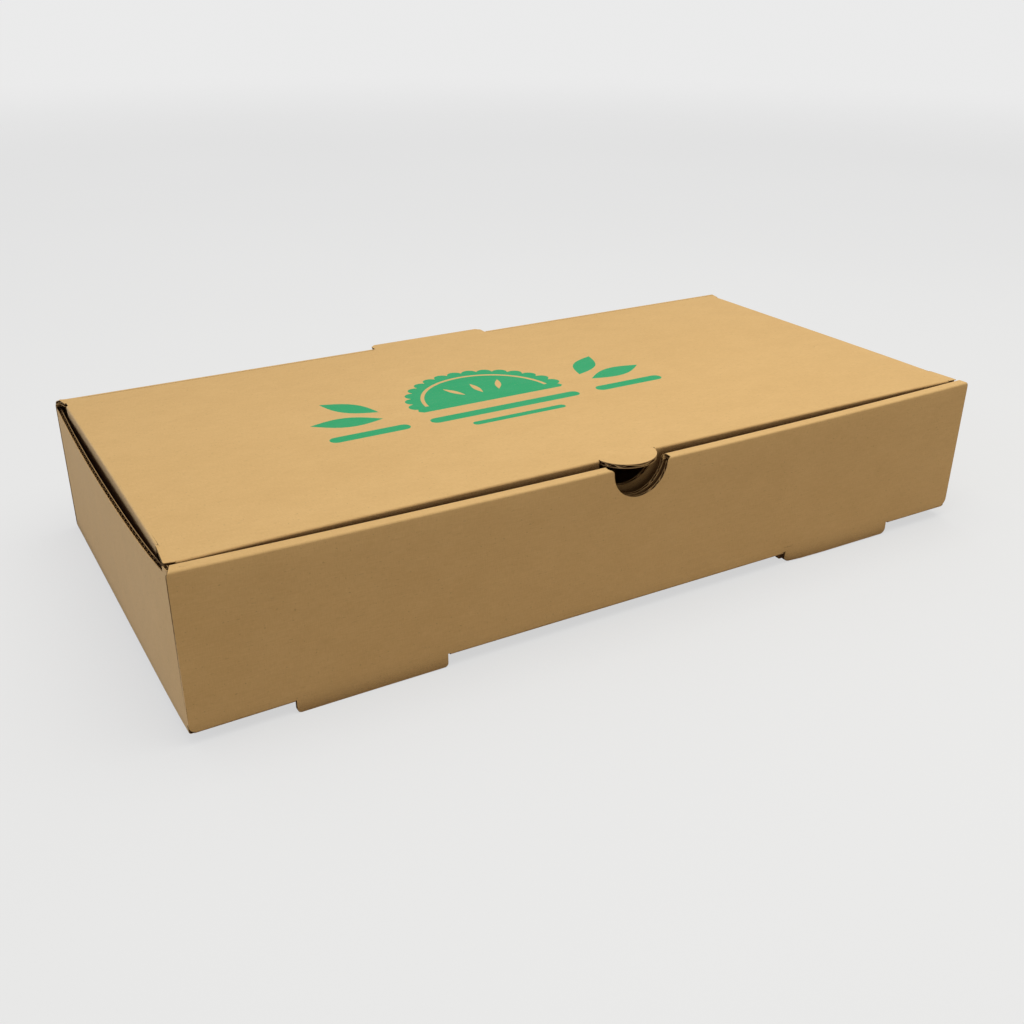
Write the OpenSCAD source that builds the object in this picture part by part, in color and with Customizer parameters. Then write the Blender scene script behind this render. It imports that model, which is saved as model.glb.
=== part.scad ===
// Calzone box: one die-cut sheet of kraft corrugated board, folded up without glue.
// Millimetres. Width along X, depth along Y with the front towards -Y, height along Z.
// The origin is the centre of the underside of the base.

/* [Box] */
// Outer width, from side wall to side wall
box_w = 330; // [260:1:420]
// Outer depth, from the front face to the back face
box_d = 170; // [130:1:260]
// Height of the rolled front wall above the underside of the base
front_h = 55; // [45:1:90]
// How far the side walls and the lower hinge crease lie below the top of the front wall
side_drop = 2; // [1:0.25:5]
// Length of the full-height corner that a side wall keeps at its front end
corner_l = 4.5; // [4:0.5:12]

/* [Board] */
// Thickness of the corrugated board
board_t = 1.5; // [1.2:0.1:2]
// Outside radius of a crease, where the board is crushed
fold_r = 0.8; // [0.5:0.1:1.2]
// Inside radius of a crease
crease_r = 0.2; // [0.1:0.1:0.6]
// Air between two layers of board that lie face to face
layer_gap = 0.15; // [0.1:0.05:0.4]
// Radius that the die gives to the corners of the front face
die_r = 1.6; // [1:0.1:3]

/* [Corner flaps] */
// Length of the flaps that tuck in behind the front and back walls
tuck_l = 50; // [30:1:70]
// Height of the gap under those flaps
tuck_lift = 0.6; // [0.3:0.1:2]
// How far the top of each flap slopes down from the crease to its free end
tuck_slope = 6; // [4:0.5:12]

/* [Feet and lock tabs] */
// Width of each foot
foot_w = 54.5; // [40:0.5:70]
// Distance from the side of the box to the outer end of a foot
foot_inset = 34.5; // [25:0.5:50]
// How far the feet reach below the base
foot_drop = 4.2; // [2:0.1:6]
// Radius of the lower corners of the left foot
left_foot_r = 1.4; // [0.8:0.1:2]
// Radius of the lower corners of the right foot
right_foot_r = 3.6; // [1:0.1:3.8]
// How much narrower than its foot a lock tab is
lock_ease = 2; // [1:0.25:6]
// How much less than its foot a lock tab reaches below the base
lock_short = 1.1; // [0.5:0.1:1.8]
// Clearance around foot and lock tab in the slot of the base
slot_gap = 0.4; // [0.2:0.1:1]

/* [Finger notch and thumb tab] */
// Width of the notch in the front wall
notch_w = 22.8; // [18:0.2:30]
// Depth of the notch below the top of the front wall
notch_depth = 12.6; // [10:0.2:18]
// Radius that rounds the top corners of the notch
notch_lip_r = 1.5; // [1:0.25:4]
// Width of the thumb tab at the front crease of the lid
thumb_w = 23; // [18:0.5:28]
// How far the thumb tab reaches in front of that crease
thumb_l = 9; // [6:0.25:11]

/* [Lid] */
// Clearance between the lid and the rolled wall that it rests on
rest_gap = 0.2; // [0.1:0.05:0.5]
// Clearance between the lid's front flap and the front wall that it slides down behind
flap_gap = 0.4; // [0.25:0.05:0.8]
// Clearance between the lid's side flaps and the side walls
side_gap = 1; // [0.4:0.1:1.5]
// Depth of the lid's front flap
front_flap_h = 28; // [16:1:34]
// Angle at which the front flap leans in, so that it clears the wall as it opens
front_lean = 6.5; // [6:0.5:12]
// Depth of the lid's side flaps
side_flap_h = 26; // [12:1:34]
// Angle at which the side flaps lean in
side_lean = 2; // [0.5:0.5:6]
// Distance from the front crease of the lid to the front end of a side flap
side_flap_front = 13; // [10:0.5:20]
// Distance from the hinge to the rear end of a side flap
side_flap_rear = 9; // [7:0.5:20]
// Slope of the cut ends of the flaps, away from square
flap_taper = 12; // [5:1:25]
// How far the corners of the lid reach out past its side creases
ear_out = 1.9; // [0.5:0.1:2.2]

/* [Hinge and vent] */
// Distance from the back face to the upper hinge crease
hinge_run = 5; // [4:0.25:7]
// Gap between the lid and the hinge strip at that crease
hinge_gap = 0.15; // [0.1:0.05:0.3]
// Width of the tongue that stays level with the lid
tongue_w = 56; // [40:1:80]
// Length of the tongue
tongue_l = 6; // [4:0.25:6.5]
// Length of the cut corners of the tongue
tongue_cut = 2; // [1:0.25:4]
// Clearance around the tongue in the slot that it leaves in the back wall
vent_gap = 0.5; // [0.3:0.1:1]

/* [Hidden] */
$fn = 48;
eps = 0.01;
arc_steps = 6;
lid_colour = [0.82, 0.66, 0.43];
tray_colour = [0.72, 0.56, 0.35];

half_w = box_w / 2;
half_d = box_d / 2;
// Reach of a square crease, measured from where the outer faces would meet
outer_r = crease_r + board_t;
side_h = front_h - side_drop;

// The front wall is three layers thick: face, tucked corner flap and rolled-over panel
layer_pitch = board_t + layer_gap;
roll_d = board_t + 2 * layer_pitch;
roll_back_y = -half_d + roll_d;
tuck_y = half_d - layer_pitch;
roll_half_w = half_w - layer_pitch;

lid_under = front_h + rest_gap;
lid_top = lid_under + board_t;
lid_front_y = roll_back_y + flap_gap;
lid_half_w = half_w - board_t - side_gap;
hinge_y = half_d - hinge_run;
lid_rear_y = hinge_y - hinge_gap;

foot_x = half_w - foot_inset - foot_w / 2;
lock_w = foot_w - lock_ease;
lock_drop = foot_drop - lock_short;

notch_r = notch_w / 2;
notch_centre_z = front_h - notch_depth + notch_r;

// Radius of a round tab from its width and its length
thumb_r = (thumb_w * thumb_w / 4 + thumb_l * thumb_l) / (2 * thumb_l);

// Section of a folded board. The corners are where the outer faces would meet,
// listed so that the board lies to the left of the way from one to the next.
function unit(a) = [cos(a), sin(a)];
function heading(p, q) = atan2(q[1] - p[1], q[0] - p[0]);
function turn(a, b) = (b - a + 720) % 360;
function crease_centre(p, q, s, inset) =
    let (a = heading(p, q), bend = turn(a, heading(q, s)))
    q - inset * tan(bend / 2) * unit(a) + inset * unit(a + 90);
function crease_arc(p, q, s, inset, r) =
    let (a = heading(p, q), bend = turn(a, heading(q, s)))
    [for (k = [0:arc_steps])
        crease_centre(p, q, s, inset) + r * unit(a - 90 + bend * k / arc_steps)];
function outer_arc(p, q, s) = crease_arc(p, q, s, fold_r, fold_r);
function inner_arc(p, q, s) = crease_arc(p, q, s, outer_r, crease_r);
function end_point(p, q, at) = at + board_t * unit(heading(p, q) + 90);
function folded(c) =
    let (last = len(c) - 1)
    concat(
        [c[0]],
        [for (i = [1:1:last - 1]) each outer_arc(c[i - 1], c[i], c[i + 1])],
        [c[last], end_point(c[last - 1], c[last], c[last])],
        [for (i = [last - 1:-1:1]) each reverse(inner_arc(c[i - 1], c[i], c[i + 1]))],
        [end_point(c[0], c[1], c[0])]
    );
function reverse(list) = [for (i = [len(list) - 1:-1:0]) list[i]];

// From the foot of the rolled-over panel, over the front wall, along the base and up to the hinge
wrap_section = folded([
    [roll_back_y, board_t + layer_gap],
    [roll_back_y, front_h],
    [-half_d, front_h],
    [-half_d, 0],
    [half_d, 0],
    [half_d, side_h],
    [hinge_y, lid_top]
]);

// Base and side walls
cradle_section = folded([
    [-half_w, front_h],
    [-half_w, 0],
    [half_w, 0],
    [half_w, front_h]
]);

// Left side wall seen from above, with its two corner flaps
tuck_section = folded([
    [-half_w + tuck_l, tuck_y],
    [-half_w, tuck_y],
    [-half_w, -tuck_y],
    [-half_w + tuck_l, -tuck_y]
]);

// Lid and its front flap
lid_section = folded([
    [lid_rear_y, lid_top],
    [lid_front_y, lid_top],
    [lid_front_y + front_flap_h * tan(front_lean), lid_top - front_flap_h]
]);

// Lid and its side flaps
lid_cross_section = folded([
    [lid_half_w - side_flap_h * tan(side_lean), lid_top - side_flap_h],
    [lid_half_w, lid_top],
    [-lid_half_w, lid_top],
    [-lid_half_w + side_flap_h * tan(side_lean), lid_top - side_flap_h]
]);

// Draws a Y-Z section and runs it along X, centred
module along_x(width) {
    rotate([90, 0, 90])
        linear_extrude(width, center = true)
            children();
}

// Draws an X-Z section and runs it along Y between two places
module along_y(from, to) {
    translate([0, to, 0])
        rotate([90, 0, 0])
            linear_extrude(to - from)
                children();
}

module block(from, to) {
    translate(from)
        cube(to - from);
}

module both_sides() {
    children();
    mirror([1, 0, 0])
        children();
}

// Rectangle between two corners, with one radius on all four
module round_rect(from, to, r) {
    translate([from[0] + r, from[1]])
        square([to[0] - from[0] - 2 * r, to[1] - from[1]]);
    translate([from[0], from[1] + r])
        square([to[0] - from[0], to[1] - from[1] - 2 * r]);
    for (x = [from[0] + r, to[0] - r], y = [from[1] + r, to[1] - r])
        translate([x, y])
            circle(r);
}

// The long run of the sheet: rolled front wall, base, back wall and hinge strip
module wrap() {
    // Face of the front wall, as wide as the box, with rounded corners
    intersection() {
        along_x(box_w)
            polygon(wrap_section);
        along_y(-half_d - 1, -half_d + board_t)
            round_rect([-half_w, 0], [half_w, front_h], die_r);
    }
    // Rolled-over top, inner panel and base, between the side walls
    intersection() {
        along_x(2 * roll_half_w)
            polygon(wrap_section);
        union() {
            block([-half_w, -half_d + board_t - eps, -1], [half_w, 0, front_h + 1]);
            block([-half_w, -eps, -1], [half_w, half_d - outer_r + eps, outer_r]);
        }
    }
    // Back wall and hinge strip, as wide as the box
    intersection() {
        along_x(box_w)
            polygon(wrap_section);
        union() {
            block([-half_w, half_d - board_t, -1], [half_w, half_d + 1, lid_top]);
            block([-half_w, hinge_y, side_h - outer_r], [half_w, half_d + 1, lid_top]);
            block([-roll_half_w, half_d - outer_r, -1], [roll_half_w, half_d, outer_r]);
        }
    }
}

// Outline of a side wall seen from the side: full height only at its front corner
module side_outline() {
    square([half_d * 2, side_h]);
    square([corner_l, front_h - rest_gap]);
}

module side_wall_cut() {
    translate([-half_w - 1, -tuck_y, 0])
        rotate([90, 0, 90])
            linear_extrude(box_w + 2)
                side_outline();
}

// Base edge creases and side walls
module cradle() {
    intersection() {
        along_y(-half_d + outer_r, half_d - outer_r)
            polygon(cradle_section);
        union() {
            block([-half_w, -half_d, 0], [half_w, half_d, outer_r + tuck_lift]);
            block([-half_w, -tuck_y + outer_r, 0], [half_w, tuck_y - outer_r, front_h]);
        }
        side_wall_cut();
    }
}

// Outline of one corner flap, seen from the front
module tuck_outline(top) {
    polygon([
        [-half_w - eps, outer_r + tuck_lift],
        [-half_w + tuck_l - tuck_slope, outer_r + tuck_lift],
        [-half_w + tuck_l, outer_r + tuck_lift + tuck_slope],
        [-half_w + tuck_l, top - tuck_slope - side_drop],
        [-half_w + outer_r, top - side_drop],
        [-half_w + outer_r, top + side_drop],
        [-half_w - eps, top + side_drop]
    ]);
}

// Corner flaps at both ends of the left side wall
module tucks() {
    intersection() {
        linear_extrude(front_h)
            polygon(tuck_section);
        union() {
            along_y(-half_d, -tuck_y + outer_r)
                tuck_outline(side_h);
            along_y(tuck_y - outer_r, half_d)
                tuck_outline(side_h);
        }
        side_wall_cut();
    }
}

// One foot with rounded lower corners, continuing the face of the front wall
module foot(r) {
    along_y(-half_d, -half_d + board_t) {
        translate([-foot_w / 2 + r, -foot_drop])
            square([foot_w - 2 * r, foot_drop]);
        translate([-foot_w / 2, -foot_drop + r])
            square([foot_w, foot_drop - r + outer_r + eps]);
        for (x = [-foot_w / 2 + r, foot_w / 2 - r])
            translate([x, -foot_drop + r])
                circle(r);
    }
}

// Lock tab of the rolled-over panel, pushed down through the slot behind the foot
module lock_tab() {
    block(
        [-lock_w / 2, roll_back_y - board_t, -lock_drop],
        [lock_w / 2, roll_back_y, outer_r + layer_gap]
    );
}

// The slot that foot and lock tab leave in the base
module base_slot() {
    block(
        [-foot_w / 2 - slot_gap, -half_d - 1, -1],
        [foot_w / 2 + slot_gap, roll_back_y + slot_gap, board_t + layer_gap]
    );
}

// Half-round notch through both layers of the front wall, with rounded lips
module finger_notch() {
    along_y(-half_d - 1, roll_back_y + 1) {
        translate([0, notch_centre_z])
            circle(notch_r);
        translate([-notch_r, notch_centre_z])
            square([notch_w, front_h - notch_centre_z + 1]);
        difference() {
            translate([-notch_r - notch_lip_r, front_h - notch_lip_r])
                square([notch_w + 2 * notch_lip_r, notch_lip_r + 1]);
            for (x = [-notch_r - notch_lip_r, notch_r + notch_lip_r])
                translate([x, front_h - notch_lip_r])
                    circle(notch_lip_r);
        }
    }
}

// The slot that the lid's tongue leaves in the hinge strip and the top of the back wall
module vent_slot() {
    reach = tongue_l + vent_gap;
    inner_y = half_d - board_t - hinge_y;
    drop = sqrt(reach * reach - inner_y * inner_y);
    block(
        [-tongue_w / 2 - vent_gap, hinge_y - outer_r, lid_top - drop],
        [tongue_w / 2 + vent_gap, half_d + 1, lid_top + 1]
    );
}

module tray() {
    color(tray_colour)
        difference() {
            union() {
                difference() {
                    union() {
                        wrap();
                        cradle();
                    }
                    both_sides()
                        translate([foot_x, 0, 0])
                            base_slot();
                }
                both_sides()
                    tucks();
                translate([-foot_x, 0, 0])
                    foot(left_foot_r);
                translate([foot_x, 0, 0])
                    foot(right_foot_r);
                both_sides()
                    translate([foot_x, 0, 0])
                        lock_tab();
            }
            finger_notch();
            vent_slot();
        }
}

// The flat part of the lid, drawn from above: panel, corner ears, thumb tab and tongue
module lid_outline() {
    flat_x = lid_half_w - outer_r;
    flat_y = lid_front_y + outer_r;
    ear_x = lid_half_w + ear_out;
    ear_rear_y = lid_front_y + side_flap_front - flap_gap;
    translate([-flat_x, flat_y])
        square([2 * flat_x, lid_rear_y - flat_y]);
    both_sides() {
        polygon([
            [flat_x - eps, lid_front_y],
            [ear_x, lid_front_y],
            [lid_half_w, ear_rear_y],
            [flat_x - eps, ear_rear_y]
        ]);
        polygon([
            [flat_x - eps, lid_rear_y],
            [ear_x, lid_rear_y],
            [lid_half_w, hinge_y - side_flap_rear],
            [flat_x - eps, hinge_y - side_flap_rear]
        ]);
    }
    thumb_tab();
    polygon([
        [-tongue_w / 2, lid_rear_y - eps],
        [tongue_w / 2, lid_rear_y - eps],
        [tongue_w / 2, hinge_y + tongue_l - tongue_cut],
        [tongue_w / 2 - tongue_cut, hinge_y + tongue_l],
        [-tongue_w / 2 + tongue_cut, hinge_y + tongue_l],
        [-tongue_w / 2, hinge_y + tongue_l - tongue_cut]
    ]);
}

// Round thumb tab: the part of a circle that lies in front of the crease
module thumb_tab() {
    intersection() {
        translate([0, lid_front_y - thumb_l + thumb_r])
            circle(thumb_r);
        translate([-thumb_w / 2, lid_front_y - thumb_l])
            square([thumb_w, thumb_l + outer_r + eps]);
    }
}

// The front flap hangs from the front crease, except where the thumb tab was cut from it
module front_flap() {
    hang = front_flap_h * tan(flap_taper);
    half_top = lid_half_w - outer_r;
    difference() {
        intersection() {
            along_x(box_w)
                polygon(lid_section);
            along_y(lid_front_y - 1, lid_front_y + front_flap_h)
                polygon([
                    [-half_top, lid_top + 1],
                    [-half_top, lid_top - outer_r],
                    [-half_top + hang, lid_top - front_flap_h - 1],
                    [half_top - hang, lid_top - front_flap_h - 1],
                    [half_top, lid_top - outer_r],
                    [half_top, lid_top + 1]
                ]);
            block([-half_w, lid_front_y - 1, 0], [half_w, lid_front_y + outer_r + eps + front_flap_h, lid_top]);
        }
        along_y(lid_front_y - 1, lid_front_y + front_flap_h)
            thumb_hole();
    }
}

// The hole that the thumb tab leaves in the front flap
module thumb_hole() {
    intersection() {
        translate([0, lid_top - outer_r - thumb_l + thumb_r])
            circle(thumb_r + flap_gap);
        translate([-thumb_w / 2 - flap_gap, lid_top - thumb_l - 2 * outer_r])
            square([thumb_w + 2 * flap_gap, thumb_l + 2 * outer_r + 1]);
    }
}

module side_flaps() {
    front_end = lid_front_y + side_flap_front;
    rear_end = hinge_y - side_flap_rear;
    hang = side_flap_h * tan(flap_taper);
    intersection() {
        along_y(-half_d, half_d)
            polygon(lid_cross_section);
        along_x(box_w)
            polygon([
                [front_end, lid_top + 1],
                [front_end, lid_top - outer_r],
                [front_end + hang, lid_top - side_flap_h - 1],
                [rear_end - hang, lid_top - side_flap_h - 1],
                [rear_end, lid_top - outer_r],
                [rear_end, lid_top + 1]
            ]);
    }
}

module lid() {
    color(lid_colour)
        union() {
            translate([0, 0, lid_under])
                linear_extrude(board_t)
                    lid_outline();
            front_flap();
            side_flaps();
        }
}

tray();
lid();
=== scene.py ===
import math

import bmesh
import bpy
import numpy as np
from mathutils import Matrix, Vector
from mathutils.geometry import delaunay_2d_cdt


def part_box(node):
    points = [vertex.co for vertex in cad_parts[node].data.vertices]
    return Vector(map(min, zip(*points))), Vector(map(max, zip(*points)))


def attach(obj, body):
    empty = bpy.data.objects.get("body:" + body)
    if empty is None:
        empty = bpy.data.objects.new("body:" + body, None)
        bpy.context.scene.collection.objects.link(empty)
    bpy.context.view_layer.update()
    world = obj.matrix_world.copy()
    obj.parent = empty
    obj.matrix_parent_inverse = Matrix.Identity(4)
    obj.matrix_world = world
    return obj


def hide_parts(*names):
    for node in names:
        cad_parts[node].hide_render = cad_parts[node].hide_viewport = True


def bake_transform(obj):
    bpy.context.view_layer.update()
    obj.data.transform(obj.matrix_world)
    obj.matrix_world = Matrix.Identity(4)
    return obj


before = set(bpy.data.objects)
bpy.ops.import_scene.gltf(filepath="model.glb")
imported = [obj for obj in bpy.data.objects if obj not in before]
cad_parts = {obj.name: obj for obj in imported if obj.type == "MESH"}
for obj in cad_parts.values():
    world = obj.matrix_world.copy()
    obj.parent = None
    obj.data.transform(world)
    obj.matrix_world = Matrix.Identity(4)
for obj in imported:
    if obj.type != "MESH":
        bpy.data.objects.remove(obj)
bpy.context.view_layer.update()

# Everything is drawn in millimetres and scaled to metres when a mesh is made
MM = 0.001

# Board: two liners with a fluted sheet between them
BOARD = 1.5
LINER = 0.22
FLUTE_SHEET = 0.15
FLUTE_PITCH = 3.3
FLUTE_STEPS = 8

# Creases: the board is crushed there, so the outside is nearly as tight as the inside
FOLD_R = 0.8
CREASE_R = 0.2
REACH = BOARD + CREASE_R
BEND_STEP = 15.0
EASE = 5.0
QUARTER = FOLD_R * math.pi / 2

# Sizes read from the frame
TRAY_LOW, TRAY_HIGH = [np.array(corner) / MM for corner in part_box("tray")]
LID_LOW, LID_HIGH = [np.array(corner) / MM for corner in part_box("lid")]
HALF_W = float(TRAY_HIGH[0])
HALF_D = float(TRAY_HIGH[1])
LID_TOP = float(LID_HIGH[2])
FOOT_DROP = float(-TRAY_LOW[2])
HINGE_Y = 80.0

# Tray
LAYER_GAP = 0.15
REST_GAP = 0.2
SIDE_DROP = 2.0
CORNER_DROP = 0.2
FRONT_H = LID_TOP - BOARD - REST_GAP
SIDE_H = FRONT_H - SIDE_DROP
CORNER_H = FRONT_H - CORNER_DROP
CORNER_L = 3.4
ROLL_D = 3 * BOARD + 2 * LAYER_GAP
PANEL_HALF_W = HALF_W - BOARD - LAYER_GAP
INNER_Y = -HALF_D + ROLL_D
TUCK_Y = HALF_D - BOARD - LAYER_GAP
TUCK_L = 50.0
TUCK_FOOT = REACH + 0.6
TUCK_SLOPE = 6.0
LEFT_DIE_R = 2.2
RIGHT_DIE_R = 3.0
END_TOP_GAP = 1.4
FLUTE_SUNK = 0.45
STRIP_RIGHT = HALF_W - 0.5
STRIP_LEFT_FRONT = -HALF_W + 0.8
STRIP_LEFT_BACK = -HALF_W + 1.8
FOOT_HALF_W = 27.25
FOOT_INSET = 34.5
FOOT_X = HALF_W - FOOT_INSET - FOOT_HALF_W
LEFT_FOOT_R = 1.4
RIGHT_FOOT_R = 2.4
LEFT_FOOT = (-130.6, -76.6)
RIGHT_FOOT = (74.3, 129.4)
LOCK_EASE = 1.0
LOCK_SHORT = 0.5
LOCK_HALF_W = FOOT_HALF_W - LOCK_EASE
RIGHT_LOCK_LEFT = 73.2
LOCKS = (
    (-FOOT_X - LOCK_HALF_W, -FOOT_X + LOCK_HALF_W),
    (RIGHT_LOCK_LEFT, FOOT_X + LOCK_HALF_W))
LOCK_DROP = FOOT_DROP - LOCK_SHORT
SLOT_GAP = 0.4
NOTCH_R = 11.4
NOTCH_DEPTH = 12.6
NOTCH_X = -0.3
NOTCH_LIP = 1.5
VENT_HALF_W = 28.5
VENT_FLOOR = 51.22

# Lid
FLAP_GAP = 0.4
SIDE_GAP = 1.0
HINGE_GAP = 0.15
LID_FRONT_Y = INNER_Y + FLAP_GAP
LID_HALF_W = HALF_W - BOARD - SIDE_GAP
LID_REAR_Y = HINGE_Y - HINGE_GAP
FRONT_FLAP_H = 28.0
FRONT_LEAN = 6.5
SIDE_FLAP_H = 26.0
SIDE_LEAN = 2.0
SIDE_FLAP_FRONT = LID_FRONT_Y + 13.0
SIDE_FLAP_REAR = HINGE_Y - 9.0
FLAP_TAPER = math.tan(math.radians(12.0))
EAR_X = float(LID_HIGH[0])
EAR_L = 12.6
RIGHT_EAR_OUT = 0.9
REAR_EAR_L = 5.5
REAR_EAR_IN = 0.6
THUMB_HALF_W = 11.5
THUMB_X = -1.5
THUMB_L = LID_FRONT_Y - float(LID_LOW[1])
THUMB_R = (THUMB_HALF_W ** 2 + THUMB_L ** 2) / (2 * THUMB_L)
THUMB_HOLE_GAP = 0.4
THUMB_HOLE_MORE = 2.4
TONGUE_HALF_W = 28.0
TONGUE_Y = float(LID_HIGH[1])
TONGUE_CUT = 2.0

# How far the middle of a wall has sprung outwards, and sunk, along its top
FRONT_BOW = 1.7
FRONT_SAG = 0.1
SIDE_BOW = 1.8
# How far the front wall's left and right ends stand up
LEFT_RISE = 0.35
RIGHT_RISE = 0.9
# How much the rolled top is pressed together in the middle, and how much it is open at the left
PRESSED = 0.8
PRESSED_X = 30.0
PRESSED_HALF_W = 190.0
OPEN_END = 0.35
# How far the raised corner of the left side wall is pulled in
PULLED_IN = 0.7
# How far the sides have spread, and how far the front left corner of the base has sunk
LEFT_SPREAD = 0.45
RIGHT_SPREAD_TOP = 1.3
RIGHT_SPREAD_FOOT = -0.6
CORNER_SUNK = 0.85
# How far the lid's sides have spread, and how far the inner end of the right foot curls back
LID_SPREAD = 0.9
FOOT_CURL = 1.2
# Where the side walls and the layers behind the front face begin, and where the front's lift fades
SIDE_ZONE = 155.0
BEHIND_FACE = -HALF_D + BOARD + 0.05
FRONT_ZONE = -62.0
FRONT_FADE = 16.0
# How far each change reaches along the box before it has mostly faded
RISE_FADE = 60.0
SPREAD_FADE = 60.0
CORNER_FADE = 12.0
SUNK_FADE = (50.0, 150.0)
CURL_L = 16.0
# How far the lid's front edge and its front corners sink
LID_SAG = 0.25
LEFT_DROOP = 1.0
RIGHT_DROOP = 0.6


# Folded paths: the outer face of the board in section, with the board on the left of the way

def heading_vector(angle):
    return np.array([math.cos(math.radians(angle)), math.sin(math.radians(angle))])


class FoldPath:
    """Straight runs and bends along the outer face of a board, measured from its start."""

    def __init__(self, start, heading, steps):
        self.parts = []
        self.stops = [0.0]
        self.cuts = []
        point = np.array(start, float)
        at = 0.0
        for kind, amount in steps:
            if kind == "run":
                self.parts.append((at, at + amount, "run", point, heading, 0.0))
                point = point + heading_vector(heading) * amount
                at += amount
            else:
                length = FOLD_R * math.radians(amount)
                reach = FOLD_R * math.tan(math.radians(amount / 2))
                corner = point + heading_vector(heading) * reach
                self.parts.append((at, at + length, "bend", corner, heading, amount))
                count = max(2, round(amount / BEND_STEP))
                self.cuts += [at + length * i / count for i in range(count + 1)]
                heading += amount
                point = corner + heading_vector(heading) * reach
                at += length
            self.stops.append(at)

    def shortening(self, index, depth):
        """How much sooner a deeper layer meets the bend at that place in the path."""
        if not 0 <= index < len(self.parts) or self.parts[index][2] != "bend":
            return np.zeros(len(depth))
        inset = depth + np.maximum(FOLD_R - depth, CREASE_R)
        return (inset - FOLD_R) * math.tan(math.radians(self.parts[index][5] / 2))

    def place(self, along, depth):
        """Section coordinates of points at a distance along the path and a depth into the board."""
        out = np.zeros((len(along), 2))
        for index, (low, high, kind, anchor, heading, amount) in enumerate(self.parts):
            chosen = np.ones(len(along), bool)
            if index > 0:
                chosen &= along >= low
            if index < len(self.parts) - 1:
                chosen &= along < high
            s, h = along[chosen], depth[chosen]
            if kind == "run":
                ease = min(EASE, (high - low) / 2)
                before = self.shortening(index - 1, h) * np.clip(1 - (s - low) / ease, 0, 1)
                after = self.shortening(index + 1, h) * np.clip(1 - (high - s) / ease, 0, 1)
                spot = anchor + np.outer(s - low + before - after, heading_vector(heading))
                out[chosen] = spot + np.outer(h, heading_vector(heading + 90))
            else:
                radius = np.maximum(FOLD_R - h, CREASE_R)
                inset = h + radius
                centre = anchor - np.outer(
                    inset * math.tan(math.radians(amount / 2)), heading_vector(heading))
                centre += np.outer(inset, heading_vector(heading + 90))
                turned = np.radians(heading - 90 + (s - low) / (high - low) * amount)
                out[chosen] = centre + radius[:, None] * np.column_stack(
                    [np.cos(turned), np.sin(turned)])
        return out


# Flat plans: the blank's outlines, split into triangles along its creases

def inside(points, loops):
    """True for each point inside an odd number of the loops."""
    odd = np.zeros(len(points), bool)
    x, y = points[:, 0], points[:, 1]
    for loop in loops:
        ring = np.array(loop)
        for (x0, y0), (x1, y1) in zip(ring, np.roll(ring, -1, axis=0)):
            if y0 != y1:
                crosses = (y0 > y) != (y1 > y)
                odd ^= crosses & (x < (x1 - x0) * (y - y0) / (y1 - y0) + x0)
    return odd


def plan(loops, u_cuts=(), v_cuts=(), lines=()):
    """Triangles that fill the loops, with edges along the cuts and the further lines."""
    points = []
    edges = []
    for loop in list(loops) + list(lines):
        first = len(points)
        points += [Vector(p) for p in loop]
        edges += [(first + i, first + (i + 1) % len(loop)) for i in range(len(loop))]
    low = np.min([np.min(loop, axis=0) for loop in loops], axis=0)
    high = np.max([np.max(loop, axis=0) for loop in loops], axis=0)
    for u in u_cuts:
        if low[0] < u < high[0]:
            edges.append((len(points), len(points) + 1))
            points += [Vector((u, low[1] - 1)), Vector((u, high[1] + 1))]
    for v in v_cuts:
        if low[1] < v < high[1]:
            edges.append((len(points), len(points) + 1))
            points += [Vector((low[0] - 1, v)), Vector((high[0] + 1, v))]
    verts, _, triangles, _, _, _ = delaunay_2d_cdt(points, edges, [], 0, 1e-5)
    verts = np.array([tuple(v) for v in verts])
    triangles = np.array([t for t in triangles if len(t) == 3])
    return verts, triangles[inside(verts[triangles].mean(axis=1), loops)]


def spread(low, high, step):
    count = max(1, round((high - low) / step))
    return [low + (high - low) * i / count for i in range(count + 1)]


def rounded(corner, before, after, radius, count=5):
    """Points that round the corner between its two neighbours."""
    corner, before, after = Vector(corner), Vector(before), Vector(after)
    to_before = (before - corner).normalized()
    to_after = (after - corner).normalized()
    half = to_before.angle(to_after) / 2
    reach = radius / math.tan(half)
    start = corner + to_before * reach
    end = corner + to_after * reach
    centre = corner + (to_before + to_after).normalized() * radius / math.sin(half)
    spots = [start.lerp(end, i / count) - centre for i in range(count + 1)]
    return [tuple(centre + spot.normalized() * radius) for spot in spots]


def outline(corners):
    """A loop from corners (u, v), or (u, v, radius) where a corner is rounded."""
    loop = []
    for i, corner in enumerate(corners):
        before = corners[i - 1][:2]
        after = corners[(i + 1) % len(corners)][:2]
        if len(corner) == 3:
            loop += rounded(corner[:2], before, after, corner[2])
        else:
            loop.append(tuple(corner))
    return loop


def arc(centre, radius, start, end, count):
    angles = [math.radians(start + (end - start) * i / count) for i in range(count + 1)]
    return [(centre[0] + radius * math.cos(a), centre[1] + radius * math.sin(a)) for a in angles]


def make_piece(mesh, sharp_angle):
    """Turns the faces outwards, shades them and puts an object of the mesh's name in the scene."""
    work = bmesh.new()
    work.from_mesh(mesh)
    bmesh.ops.recalc_face_normals(work, faces=work.faces)
    work.to_mesh(mesh)
    work.free()
    mesh.polygons.foreach_set("use_smooth", [True] * len(mesh.polygons))
    mesh.set_sharp_from_angle(angle=math.radians(sharp_angle))
    piece = bpy.data.objects.new(mesh.name, mesh)
    bpy.context.scene.collection.objects.link(piece)
    return piece


# Boards are gathered layer by layer and made into one mesh

OUTSIDE, INSIDE, EDGE, INK = range(4)


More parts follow.
